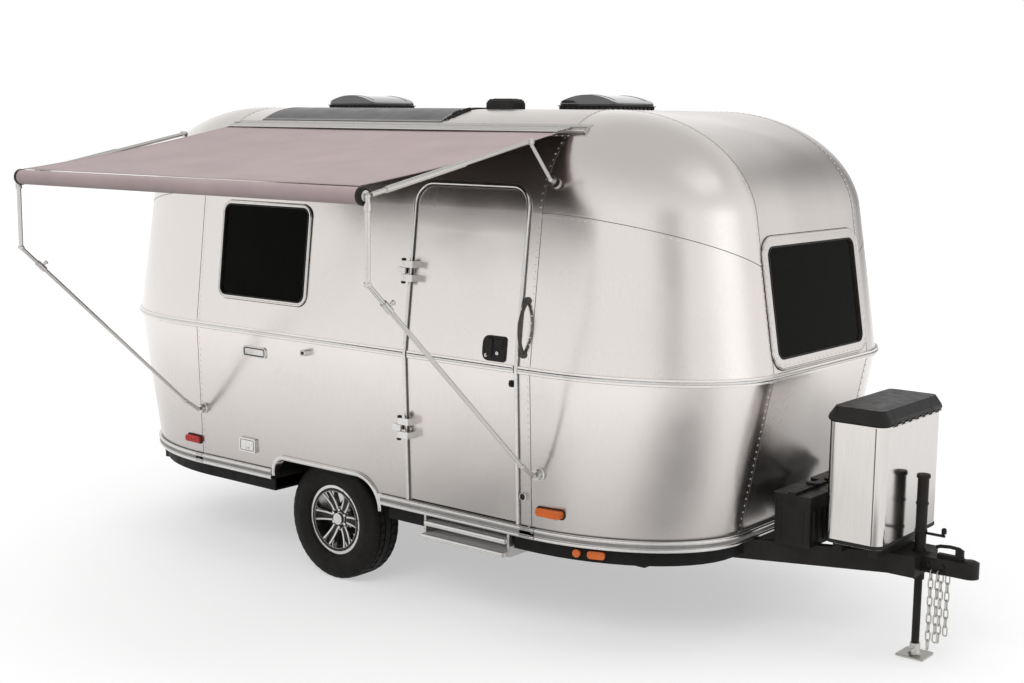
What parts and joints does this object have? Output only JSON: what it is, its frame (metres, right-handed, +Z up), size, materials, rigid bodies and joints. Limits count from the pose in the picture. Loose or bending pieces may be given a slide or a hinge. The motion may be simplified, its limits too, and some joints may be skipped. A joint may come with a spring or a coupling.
{
  "type": "travel caravan",
  "caption": "Riveted aluminium travel caravan with rounded ends, side door, rolled-out awning, roof vents, gas locker, tongue jack and ball coupler; door, vents, lid, jack and wheels move",
  "frame": {"origin": "on the ground under the middle of the bounding box", "axes": "+X forward towards the coupler, +Y to the road side (away from door and awning), +Z up"},
  "size_m": [5.5216, 3.5849, 2.7963],
  "materials": {
    "skin": "satin",
    "bright_trim": "polished",
    "black_steel": "satin",
    "black_sheet": "matte",
    "deck": "matte",
    "wheel": "polished",
    "tyre": "matte",
    "dark_glass": "polished",
    "black_plastic": "matte",
    "awning_metal": "satin",
    "awning_cloth": "matte",
    "smoked_lid": "gloss",
    "polished_wrap": "polished",
    "locker_cover": "satin",
    "gas_bottle": "gloss",
    "zinc": "satin",
    "step_metal": "satin",
    "amber": "gloss",
    "red": "gloss",
    "solar_sheet": "satin"
  },
  "bodies": {
    "caravan": {"shell_side_right": "skin", "shell_side_left": "skin", "shell_roof": "skin", "end_shell_front": "skin", "end_shell_rear": "skin", "end_foot_front": "skin", "end_foot_rear": "skin", "cabin_floor": "deck", "belt_moulding": "bright_trim", "rub_rail": "bright_trim", "arch_trims": "bright_trim", "wheel_housings": "black_sheet", "underbelly": "black_sheet", "chassis_frame": "black_steel", "axle": "black_steel", "window_frames": "bright_trim", "window_glass": "dark_glass", "wall_hinge_leaves": "bright_trim", "door_frame": "bright_trim", "grab_handle": "black_plastic", "wall_fittings": "bright_trim", "awning_rail": "awning_metal", "awning_cloth": "awning_cloth", "awning_roller": "awning_cloth", "awning_rafters": "awning_metal", "awning_legs": "awning_metal", "vent_bases": "black_plastic", "solar_panel": "solar_sheet", "roof_wiring": "black_plastic", "gas_locker": "polished_wrap", "gas_cylinders": "gas_bottle", "battery_boxes": "black_plastic", "jack_tube": "black_steel", "ball_coupler": "black_steel", "safety_chains": "zinc", "stabilisers": "black_steel", "entry_step": "step_metal", "amber_lamps": "amber", "red_lamps": "red"},
    "wheel_right": {"rim_right": "wheel", "tyre_right": "tyre"},
    "wheel_left": {"rim_left": "wheel", "tyre_left": "tyre"},
    "door": {"door_leaf": "skin", "door_latch": "black_plastic", "door_hinge_leaves": "bright_trim"},
    "vent_front": {"vent_lid_front": "smoked_lid"},
    "vent_rear": {"vent_lid_rear": "smoked_lid"},
    "locker_lid": {"gas_locker_lid": "locker_cover"},
    "jack": {"jack_leg": "black_steel"}
  },
  "joints": [
    {"name": "wheel_right_spin", "type": "hinge", "parent": "caravan", "child": "wheel_right", "pos_m": [-0.671, -0.3155, 0.349], "axis": [0, 1, 0], "continuous": true},
    {"name": "wheel_left_spin", "type": "hinge", "parent": "caravan", "child": "wheel_left", "pos_m": [-0.671, 1.5445, 0.349], "axis": [0, 1, 0], "continuous": true},
    {"name": "door_swing", "type": "hinge", "parent": "caravan", "child": "door", "pos_m": [0.021, -0.5915, 1.02], "axis": [0, -0.0398, -0.9992], "range_deg": [0, 175]},
    {"name": "vent_front_lift", "type": "hinge", "parent": "caravan", "child": "vent_front", "pos_m": [0.2824, 0.6145, 2.7435], "axis": [0, -1, 0], "range_deg": [0, 70]},
    {"name": "vent_rear_lift", "type": "hinge", "parent": "caravan", "child": "vent_rear", "pos_m": [-1.5486, 0.6145, 2.7435], "axis": [0, -1, 0], "range_deg": [0, 70]},
    {"name": "locker_lid_lift", "type": "hinge", "parent": "caravan", "child": "locker_lid", "pos_m": [2.4076, 0.6145, 1.213], "axis": [0, 1, 0], "range_deg": [0, 100]},
    {"name": "jack_slide", "type": "slide", "parent": "caravan", "child": "jack", "axis": [0, 0, 1], "range_m": [0, 0.25]}
  ]
}
